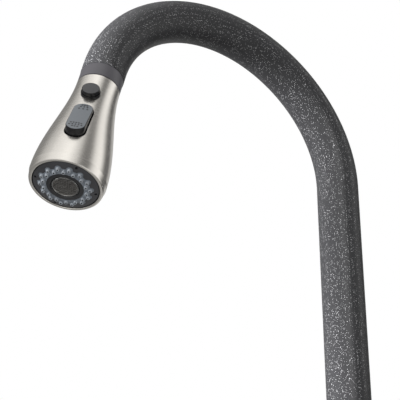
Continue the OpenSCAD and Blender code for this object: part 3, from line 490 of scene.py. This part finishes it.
nylonBraid("footBraid", Matrix.Translation(middleOf("hose_plug")))
print("materials ready:", len(materials))

# ---- gooseneck tube and hoses ----

neckSizes = {"bore": 13.5, "end": 18.6, "tail": 8, "sides": 96, "bendSteps": 144, "lip": 0.35}


def bendPlan():
    # bend radius, height of its centre and angle, from the tube's box and the outlet
    low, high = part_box("spout_tube")
    outer = high.x / mm
    sweep = math.atan2(-outletDir.y, outletDir.z)
    drop = seamPoint.y / mm + neckSizes["end"] * math.sin(sweep)
    radius = -drop / (1 - math.cos(sweep))
    return {"outer": outer, "radius": radius, "sweep": sweep, "foot": low.z / mm,
            "height": high.z / mm - radius - outer}


bend = bendPlan()


def swanLoops(bm, loops, foot, tail, steps):
    # carries loops of edges from foot up, round the bend and past it, and returns the last ones
    ends = grow(bm, loops, (0, 0, bend["height"] - foot))
    verts = list({vert for edge in ends for vert in edge.verts})
    last = bmesh.ops.spin(bm, geom=verts + ends, cent=(0, -bend["radius"], bend["height"]),
                          axis=(1, 0, 0), dvec=(0, 0, 0), angle=bend["sweep"], steps=steps)
    ends = [item for item in last["geom_last"] if isinstance(item, bmesh.types.BMEdge)]
    return grow(bm, ends, outletDir * tail)


def makeGooseneck():
    size = neckSizes
    bm = bmesh.new()
    for radius in (bend["outer"], size["bore"]):
        bmesh.ops.create_circle(bm, cap_ends=False, segments=size["sides"], radius=radius,
                                matrix=Matrix.Translation((0, 0, bend["foot"])))
    first = bm.edges[:]
    last = swanLoops(bm, first, bend["foot"], size["tail"], size["bendSteps"])
    bmesh.ops.bridge_loops(bm, edges=first)
    bmesh.ops.bridge_loops(bm, edges=last)
    bmesh.ops.bevel(bm, geom=last, offset=size["lip"], segments=3, profile=0.5,
                    affect="EDGES", material=-1)
    makePiece(merged(bm), "gooseneckTube", Matrix(), ["spout_tube"], "coat")


def makeUpperHose():
    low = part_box("spray_hose_upper")[0].z / mm
    bm = tubeStart(6.25, Matrix.Translation((0, 0, low)), 32)
    first = bm.edges[:]
    last = swanLoops(bm, first, low, 2.4, 72)
    bmesh.ops.holes_fill(bm, edges=first)
    bmesh.ops.holes_fill(bm, edges=last)
    makePiece(merged(bm), "upperHose", Matrix(), ["spray_hose_upper"], "outletBraid")


def makePulledHose():
    # a short straight hose inside the dock, in many rings
    plan = {"radius": 6.35, "from": -31, "to": -14, "rings": 120, "start": -29, "finish": -17}
    place = Matrix.Translation((0, 0, plan["from"]))
    bm = tubeStart(plan["radius"], place, 32)
    edges = bm.edges[:]
    bmesh.ops.holes_fill(bm, edges=edges)
    for ring in range(plan["rings"]):
        edges = grow(bm, edges, (0, 0, (plan["to"] - plan["from"]) / plan["rings"]))
    bmesh.ops.holes_fill(bm, edges=edges)
    hose = objectFrom(merged(bm), "pulledHose", headFrame)
    hose.data.materials.append(materials["outletBraid"])
    smoothed(hose.data)
    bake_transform(hose)


def makeDockSleeve():
    end, tail = neckSizes["end"], neckSizes["tail"]
    size = {"outer": 14.75, "plug": 13.4, "bore": 10.2, "plugFrom": 1, "grooveOut": 12.75,
            "grooveIn": 10.95, "grooveDeep": 4}
    outline = [(size["plug"], size["plugFrom"] - end, 0.3), (size["plug"], tail - end),
               (size["outer"], tail - end, 0.2), (size["outer"], 0, 0.35),
               (size["grooveOut"], 0, 0.1), (size["grooveOut"], -size["grooveDeep"]),
               (size["grooveIn"], -size["grooveDeep"]), (size["grooveIn"], 0, 0.1),
               (size["bore"], 0, 0.25), (size["bore"], size["plugFrom"] - end)]
    makePiece(turned(outline), "dockSleeve", headFrame, ["dock_sleeve"], "dock")


def makeLowerHose():
    low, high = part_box("spray_hose_lower")
    plan = {"radius": 6.25, "sides": 32, "steps": 20, "bendDrop": 19, "straight": 2}
    aside = low.x / mm + plan["radius"]
    top, foot = high.z / mm, low.z / mm
    bm = tubeStart(plan["radius"], Matrix.Translation((0, 0, top)), plan["sides"])
    edges = bm.edges[:]
    bmesh.ops.holes_fill(bm, edges=edges)
    levels = [top - plan["straight"] - plan["bendDrop"] * k / plan["steps"]
              for k in range(plan["steps"] + 1)]
    here = Vector((0, 0, top))
    for level in levels + [foot]:
        share = min(1, (top - plan["straight"] - level) / plan["bendDrop"])
        there = Vector((aside * ease(share), 0, level))
        edges = grow(bm, edges, there - here)
        here = there
    bmesh.ops.holes_fill(bm, edges=edges)
    makePiece(merged(bm), "lowerHose", Matrix(), ["spray_hose_lower"], "footBraid")


makeGooseneck()
makeDockSleeve()
makeUpperHose()
makePulledHose()
makeLowerHose()
print("spout and hoses made")

# ---- spray head ----

pauseSizes = {"outer": 6.5, "inner": 6.05, "knob": 5.9, "proud": 4.1, "ringProud": 1.2,
              "floor": 5.8, "floorThick": 1, "skirt": 1.6, "stem": 1.6, "cup": 0.9, "cupWide": 3.95}
rockerSizes = {"length": 33.4, "width": 12.7, "proud": 2.7, "under": 3.4, "pivot": 4.6,
               "gap": 0.8, "edge": 0.55, "bar": 2.2, "pinHole": 1.05, "lugThick": 1.2,
               "lugWide": 4, "lugRound": 0.9, "lugEnd": 8.4}


def makeShell():
    size = headSizes
    bandAt = size["length"] - size["band"]
    lipRadius = size["rim"] - size["step"] - size["taper"]
    steps = 40
    down = [size["seam"] + (bandAt - size["seam"]) * k / steps for k in range(steps + 1)]
    up = [size["inner"] * (1 - k / steps) + size["seam"] * k / steps for k in range(steps + 1)]
    outline = [(shellRadius(depth), depth) for depth in down]
    outline += [(size["rim"] - size["step"], bandAt + size["step"]),
                (lipRadius, size["length"], size["lip"]),
                (size["mouth"], size["length"], 0.35), (size["mouth"], size["inner"] + 2)]
    outline += [(shellRadius(depth) - size["wall"], depth) for depth in up]
    shell = objectFrom(turned(outline, 192), "sprayShell", headFrame)
    carve(shell, pin(pauseSizes["outer"] + 0.05, -6, 6, 96), onShell(size["pauseAt"]))
    gap = 2 * rockerSizes["gap"]
    carve(shell, slab(rockerSizes["length"] + gap, rockerSizes["width"] + gap, -6, 6, 0, 98),
          onShell(size["rockerAt"]))
    finishPiece(shell, ["spray_shell"], ["headSteel"], size["crease"])


def paintTop(bm, level):
    # faces that look out take the first finish, the rest the second
    for face in bm.faces:
        face.material_index = 0 if face.normal.z > 0.85 and face.calc_center_median().z > level else 1


def makePauseButton():
    size = pauseSizes
    place = onShell(headSizes["pauseAt"])
    hole, deep = size["stem"] + 0.2, -size["floor"]
    ring = [(size["inner"], deep + size["floorThick"]), (hole, deep + size["floorThick"]),
            (hole, deep), (size["outer"], deep),
            (size["outer"], size["ringProud"], 0.22), (size["inner"], size["ringProud"], 0.15)]
    makePiece(turned(ring, 96), "pauseRing", place, ["pause_bezel"], "glossBlack")
    knob = [(0, size["cup"]), (size["cupWide"], size["cup"]), (size["cupWide"], -size["skirt"]),
            (size["knob"], -size["skirt"], 0.2), (size["knob"], size["proud"], 0.55), (0, size["proud"])]
    bm = turned(knob, 96)
    # the top faces take the grey of painted sheen, the sides black
    paintTop(bm, size["proud"] - 0.3)
    makePiece(bm, "pauseKnob", place, ["pause_button"], "knobTopSheen", "glossBlack")


def rockerPlace():
    # the neck end rests pressed in
    tilt = math.radians(sum(joints["rocker_tilt"]["range_deg"]) / 2)
    return (onShell(headSizes["rockerAt"]) @ Matrix.Translation((0, 0, -rockerSizes["pivot"] * mm))
            @ Matrix.Rotation(tilt, 4, "Y"))


def rockerDots(top):
    # a fan of dots at the neck end and two arcs of them at the rim end, near-black as the painted shade inside
    # dimples
    spots = [(reach, side * spread) for reach, spread in ((14.2, 1.5), (12.2, 2.1), (9.6, 2.7))
             for side in (-1, 0, 1)]
    spots += [(-8.6 - 0.12 * side * side, 1.7 * side) for side in (-2, -1, 0, 1, 2)]
    spots += [(-10.8 - 0.16 * side * side, 2.0 * side) for side in (-2, -1, 0, 1, 2)]
    spots += [(-13.2, 1.7 * side) for side in (-1, 0, 1)]
    bm = bmesh.new()
    for along, across in spots:
        place = Matrix.Translation((along, across, top)) @ Matrix.Diagonal((1, 1, 0.45, 1))
        bmesh.ops.create_uvsphere(bm, u_segments=10, v_segments=6, radius=0.6, matrix=place)
    return bm


def makeRocker():
    size = rockerSizes
    top = size["pivot"] + size["proud"]
    place = rockerPlace()
    bm = slab(size["length"], size["width"], size["pivot"] - size["under"], top, size["edge"], 98)
    paintTop(bm, top - 0.2)
    key = objectFrom(bm, "rockerKey", place)
    key.data.materials.append(materials["rockerTop"])
    key.data.materials.append(materials["glossBlack"])
    side = Matrix.Rotation(math.pi / 2, 4, "X")
    half = size["width"] / 2 - 0.6
    carve(key, pin(size["bar"], -half, half), place @ side, "UNION")
    pivot = headFrame.inverted() @ Vector(joints["rocker_tilt"]["pos_m"])
    lean = onShell(headSizes["rockerAt"]).to_3x3().col[2].angle(buttonDir)
    lug = (pivot.x / mm - size["lugEnd"]) / math.cos(lean)
    arm = bmesh.new()
    bmesh.ops.create_cube(arm, size=1, matrix=Matrix.Translation((0, 0, -lug / 2))
                          @ Matrix.Diagonal((size["lugThick"], size["lugWide"], lug, 1)))
    carve(key, arm, place, "UNION")
    carve(key, pin(size["lugRound"], -size["lugWide"] / 2, size["lugWide"] / 2, 32),
          place @ Matrix.Translation((0, 0, -lug * mm)) @ side, "UNION")
    carve(key, pin(size["pinHole"], -size["width"], size["width"], 32), place @ side)
    finishPiece(key, ["rocker_button"], [])
    dots = objectFrom(rockerDots(top), "rockerDots", place)
    dots.data.materials.append(materials["paintedDimpleShade"])
    smoothed(dots.data)
    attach(dots, "rocker")


makeShell()
makePauseButton()
makeRocker()
print("shell and buttons made")

# ---- spray face ----

faceSizes = {"edge": 21.6, "top": 86.5, "past": 92, "rise": 3, "plateFrom": 82, "flangeAt": 80.2,
             "hole": 0.9, "holePitch": 19.9, "ringIn": 12.3, "ringOut": 19.1, "lobe": 2.2,
             "outerPitch": 16.4, "innerPitch": 14.3, "count": 14, "nozzleHigh": 1.4,
             "hubOut": 12.15, "hubIn": 9.4, "hubBevel": 0.8, "screen": 8.15, "screenDrop": 1.3,
             "wire": 0.13, "wirePitch": 1.15, "hoop": 0.5, "bore": 0.62, "tipLip": 1.3}


def faceHeight(radius):
    size = faceSizes
    return size["top"] + size["rise"] * (1 - (radius / size["edge"]) ** 2)


def domeRing(inner, outer, low, steps=8):
    # ring under the domed face
    arc = [inner + (outer - inner) * k / steps for k in range(steps + 1)]
    return turned([(outer, low), (inner, low)] + [(r, faceHeight(r)) for r in arc], 168)


def scallopPrism(grow, low, high):
    size = faceSizes
    bm = bmesh.new()
    bmesh.ops.create_circle(bm, cap_ends=True, segments=size["count"] * 24, radius=1,
                            matrix=Matrix.Translation((0, 0, low)))
    sector = 2 * math.pi / size["count"]
    lobe, base = size["lobe"] + grow, size["outerPitch"] + grow
    for vert in bm.verts:
        turn = math.atan2(vert.co.y, vert.co.x)
        away = (turn % sector) - sector / 2
        inside = lobe ** 2 - (size["outerPitch"] * math.sin(away)) ** 2
        bulge = size["outerPitch"] * math.cos(away) + math.sqrt(inside) if inside > 0 else 0
        radius = max(base, bulge)
        vert.co.x, vert.co.y = radius * math.cos(turn), radius * math.sin(turn)
    thicken(bm, high - low)
    return merged(bm)


def makeFacePlate():
    size = faceSizes
    plate = objectFrom(domeRing(15, size["edge"], size["plateFrom"]), "facePlate", faceFrame)
    carve(plate, scallopPrism(0.15, size["plateFrom"] - 1, size["past"]), faceFrame)
    for angle in (-24, 78, 156, 258):
        turn = Matrix.Rotation(math.radians(angle), 4, "Z")
        place = faceFrame @ turn @ Matrix.Translation((size["holePitch"] * mm, 0, 0))
        carve(plate, pin(size["hole"], size["plateFrom"] + 2, size["past"], 32), place)
    finishPiece(plate, ["face_plate"], ["facePlastic"])


def makeNozzleRing():
    size = faceSizes
    base = domeRing(size["ringIn"], size["ringOut"], size["flangeAt"] + 1)
    ring = objectFrom(base, "nozzleRing", faceFrame)
    carve(ring, scallopPrism(0, size["flangeAt"], size["past"]), faceFrame, "INTERSECT")
    ring.data.materials.clear()
    finishPiece(ring, ["nozzle_ring"], ["silicone"])
    tips = bmesh.new()
    tip, bore, high = size["tipLip"], size["bore"], size["nozzleHigh"]
    section = [(0.4, -1.6), (tip, -0.9), (tip, 0), (1.1, high, 0.2), (bore, high, 0.12)]
    nozzle = turned(section, 20)
    # faces inside the bore take the painted shade
    for face in nozzle.faces:
        middle = face.calc_center_median()
        face.material_index = 1 if math.hypot(middle.x, middle.y) < bore else 0
    nozzleMesh = bpy.data.meshes.new("nozzle")
    nozzle.to_mesh(nozzleMesh)
    nozzle.free()
    for pitch, shift in ((size["innerPitch"], 0), (size["outerPitch"], 0.5)):
        for k in range(size["count"]):
            angle = (k + shift) * 2 * math.pi / size["count"]
            before = len(tips.verts)
            tips.from_mesh(nozzleMesh)
            tips.verts.ensure_lookup_table()
            move = Matrix.Rotation(angle, 4, "Z") @ Matrix.Translation((pitch, 0, faceHeight(pitch)))
            bmesh.ops.transform(tips, matrix=move, verts=tips.verts[before:])
    bpy.data.meshes.remove(nozzleMesh)
    nozzles = objectFrom(tips, "sprayNozzles", faceFrame)
    nozzles.data.materials.append(materials["nozzleTip"])
    nozzles.data.materials.append(materials["paintedHollowShade"])
    smoothed(nozzles.data, 50)
    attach(nozzles, "spray_head")


def makeHubRing():
    size = faceSizes
    inner, outer, bevel = size["hubIn"], size["hubOut"], size["hubBevel"]
    outline = [(outer, size["flangeAt"]), (inner, size["flangeAt"]),
               (inner, faceHeight(inner) - bevel, 0.2),
               (inner + bevel, faceHeight(inner + bevel), 0.25), (outer, faceHeight(outer), 0.2)]
    makePiece(turned(outline), "hubRing", faceFrame, ["hub_ring"], "blackPlastic")


def makeScreen():
    # woven wires, each over and under its neighbours, inside a thin hoop
    size = faceSizes
    level = faceHeight(size["screen"]) - size["screenDrop"]
    bm = bmesh.new()
    count = int(size["screen"] / size["wirePitch"])
    for quarter in (0, 1):
        turn = Matrix.Rotation(quarter * math.pi / 2, 4, "Z")
        for k in range(-count, count + 1):
            across = k * size["wirePitch"]
            half = math.sqrt(size["screen"] ** 2 - across ** 2)
            steps = max(4, int(4 * half / size["wirePitch"]))
            flip = 1 if (k + quarter) % 2 else -1
            lay = Matrix.Translation((across, -half, level)) @ Matrix.Rotation(math.pi / 2, 4, "X")
            made = bmesh.ops.create_circle(bm, cap_ends=True, segments=5, radius=size["wire"],
                                           matrix=turn @ lay)
            edges = list({edge for vert in made["verts"] for edge in vert.link_edges})
            height = 0
            for step in range(1, steps + 1):
                along = -half + 2 * half * step / steps
                wave = flip * size["wire"] * math.sin(math.pi * (along / size["wirePitch"] + 0.5))
                way = Vector((0, 2 * half / steps, wave - height))
                edges = grow(bm, edges, turn.to_3x3() @ way)
                height = wave
    outer, inner = size["screen"], size["screen"] - size["hoop"]
    low, high = level - size["hoop"] / 2, level + size["hoop"] * 0.7
    hoop = turned([(outer, low, 0.1), (outer, high, 0.1), (inner, high, 0.1), (inner, low, 0.1)], 96)
    hoopMesh = bpy.data.meshes.new("hoop")
    hoop.to_mesh(hoopMesh)
    hoop.free()
    bm.from_mesh(hoopMesh)
    bpy.data.meshes.remove(hoopMesh)
    makePiece(merged(bm), "aeratorScreen", faceFrame, ["aerator_mesh"], "wire")


makeFacePlate()
makeNozzleRing()
makeHubRing()
makeScreen()
print("spray face made")

# ---- pieces that keep the frame's shape, with their edges eased ----

easedPieces = {
    # new piece: (node, finish, width of the eased edge)
    "bodyCasing": ("body_shell", "coat", 0.5), "baseFlange": ("base_flange", "coat", 0.5),
    "bonnetDome": ("bonnet_dome", "coat", 0.3), "leverHub": ("handle_hub", "coat", 0.5),
    "footRing": ("spout_foot_ring", "coat", 0.4), "leverRod": ("lever_rod", "leverSteel", 0.3),
    "clampNut": ("mounting_nut", "brass", 0.5), "clampScrews": ("clamp_screws", "plainSteel", 0.3),
    "clampWasher": ("steel_washer", "plainSteel", 0.2), "rubberWasher": ("rubber_washer", "rubber", 0.4),
    "baseGasket": ("base_gasket", "rubber", 0.2), "hotTail": ("hot_tail", "copper", 0.3),
    "coldTail": ("cold_tail", "copper", 0.3), "outletTail": ("outlet_tail", "copper", 0.2),
    "hosePlug": ("hose_plug", "brass", 0.3), "hoseFerrule": ("hose_ferrule", "plainSteel", 0.3),
    "threadedShank": ("shank", "brass", 0.12), "capPlug": ("handle_plug", "plugGrey", 0.15),
    "cartridgeNut": ("cartridge_nut", "brass", 0.3),
    "aeratorCup": ("aerator_housing", "aeratorSteel", 0.12),
    "swivelBush": ("upper_bush", "palePlastic", 0.3), "neckSleeve": ("neck_sleeve", "blackPlastic", 0.2),
}


def easePiece(name, node, finish, width):
    bm = bmesh.new()
    bm.from_mesh(frame["nodes"][node].data)
    bmesh.ops.scale(bm, vec=(1 / mm, 1 / mm, 1 / mm), verts=bm.verts[:])
    bmesh.ops.remove_doubles(bm, verts=bm.verts[:], dist=2e-3)
    bmesh.ops.dissolve_limit(bm, angle_limit=math.radians(0.5), verts=bm.verts[:], edges=bm.edges[:],
                             use_dissolve_boundaries=False)
    piece = objectFrom(bm, name, Matrix())
    piece.data.materials.clear()
    edge = piece.modifiers.new("ease", "BEVEL")
    edge.width = width * mm
    edge.segments = 3
    edge.limit_method = "ANGLE"
    edge.angle_limit = math.radians(38)
    edge.use_clamp_overlap = True
    bakeModifiers(piece)
    finishPiece(piece, [node], [finish])


for pieceName, (node, finish, width) in easedPieces.items():
    easePiece(pieceName, node, finish, width)
# faces of the aerator cup inside the screen's radius take the painted shade of its hollow
cup = bpy.data.objects["aeratorCup"].data
cup.materials.append(materials["paintedHollowShade"])
inward = faceFrame.inverted()
for polygon in cup.polygons:
    middle = inward @ polygon.center
    polygon.material_index = 1 if math.hypot(middle.x, middle.y) < faceSizes["screen"] * mm else 0
print("eased pieces made:", len(easedPieces))

# ---- finishes of the nodes that show as they are ----

slotFinish = {
    "coated_metal": "coat", "dock_plastic": "dock", "brushed_steel": "headSteel",
    "plain_steel": "plainSteel", "brass": "brass", "copper_tails": "copper",
    "disc_ceramic": "ceramic", "magnet": "magnet", "black_rubber": "rubber",
    "grey_silicone": "silicone", "black_plastic": "blackPlastic", "pale_plastic": "palePlastic",
    "blue_plastic": "bluePlastic", "button_dark": "knobTopSheen", "button_grey": "rockerTop",
    "plug_grey": "plugGrey", "hose_nylon": "footBraid",
}
for node, shape in frame["nodes"].items():
    if not shape.hide_render:
        shape.data.materials.clear()
        shape.data.materials.append(materials[slotFinish[slotOf[node]]])
print("plain nodes finished")

# ---- studio ----

studio = {
    "floorHeight": -0.42, "floorSize": 9, "white": 1.0, "strength": 1.0, "facing": 18.4,
    # azimuth about the outlet's axis from the front, brightness
    "glow": ((-180, 0.30), (-146, 0.60), (-122, 0.02), (-106, 0.06), (-80, 1.15), (-62, 0.95),
             (-38, 0.16), (-22, 0.18), (2, 0.80), (20, 1.15), (60, 0.92), (90, 0.60), (125, 0.24),
             (150, 0.24), (180, 0.30)),
}


def makeWorld():
    world = bpy.data.worlds.new("studio")
    scene.world = world
    world.use_nodes = True
    tree = world.node_tree
    tree.nodes.clear()
    front = Vector((1, 0, 0)) * math.cos(math.radians(studio["facing"]))
    front += outletDir.cross(Vector((1, 0, 0))) * math.sin(math.radians(studio["facing"]))
    turn = frameAt(Vector((0, 0, 0)), front.normalized(), outletDir).inverted().to_euler()
    ray = add(tree, "ShaderNodeTexCoord").outputs["Generated"]
    local = add(tree, "ShaderNodeMapping", None, {"Vector": ray, "Rotation": turn}).outputs[0]
    axes = add(tree, "ShaderNodeSeparateXYZ", None, {0: local})
    around = sums(tree, "ARCTAN2", axes.outputs[1], axes.outputs[0])
    share = add(tree, "ShaderNodeMapRange", None,
                {"Value": around, "From Min": -math.pi, "From Max": math.pi}).outputs[0]
    ramp = add(tree, "ShaderNodeValToRGB", None, {0: share})
    ramp.color_ramp.interpolation = "EASE"
    stops = ramp.color_ramp.elements
    while len(stops) > 1:
        stops.remove(stops[-1])
    for number, (azimuth, level) in enumerate(studio["glow"]):
        spot = stops[0] if number == 0 else stops.new((azimuth + 180) / 360)
        spot.position = (azimuth + 180) / 360
        spot.color = (level, level, level * 0.985, 1)
    plain = add(tree, "ShaderNodeBackground", None, {0: (1, 1, 1, 1), 1: studio["white"]})
    soft = add(tree, "ShaderNodeBackground", None, {0: ramp.outputs[0], 1: studio["strength"]})
    seen = add(tree, "ShaderNodeLightPath").outputs["Is Camera Ray"]
    both = add(tree, "ShaderNodeMixShader", None, {0: seen, 1: soft.outputs[0], 2: plain.outputs[0]})
    add(tree, "ShaderNodeOutputWorld", None, {0: both.outputs[0]})


def makeLamp(name, place, target, size, power, only=None, mirrored=False):
    data = bpy.data.lights.new(name, "AREA")
    data.size = size
    data.energy = power
    lamp = bpy.data.objects.new(name, data)
    scene.collection.objects.link(lamp)
    lamp.location = place
    lamp.rotation_euler = (Vector(target) - Vector(place)).to_track_quat("-Z", "Y").to_euler()
    lamp.visible_glossy = mirrored
    if only:
        lamp.light_linking.receiver_collection = only


def makeFloor():
    bm = bmesh.new()
    bmesh.ops.create_grid(bm, x_segments=1, y_segments=1, size=studio["floorSize"])
    bmesh.ops.translate(bm, verts=bm.verts[:], vec=(0, 0, studio["floorHeight"]))
    mesh = bpy.data.meshes.new("floor")
    bm.to_mesh(mesh)
    bm.free()
    mesh.materials.append(materials["paleFloor"])
    floor = bpy.data.objects.new("floor", mesh)
    scene.collection.objects.link(floor)
    floor.visible_glossy = False
    floor.visible_diffuse = False
    floor.visible_shadow = False


makeWorld()
coated = bpy.data.collections.new("coated")
for name in ("gooseneckTube", "bodyCasing", "baseFlange", "bonnetDome", "leverHub", "footRing"):
    coated.objects.link(bpy.data.objects[name])
# place, target, size in metres and power in watts
makeLamp("keyLamp", (-0.35, -1.6, 0.45), (0, -0.1, 0.3), 1.3, 20)
makeLamp("coatLamp", (-0.35, -1.6, 0.35), (0, -0.1, 0.3), 1.0, 130, coated)
makeLamp("sparkLamp", (1.5, -0.5, 0.9), (0, -0.1, 0.35), 0.5, 8, coated, mirrored=True)
makeFloor()
scene.view_settings.view_transform = "Standard"
print("studio ready")
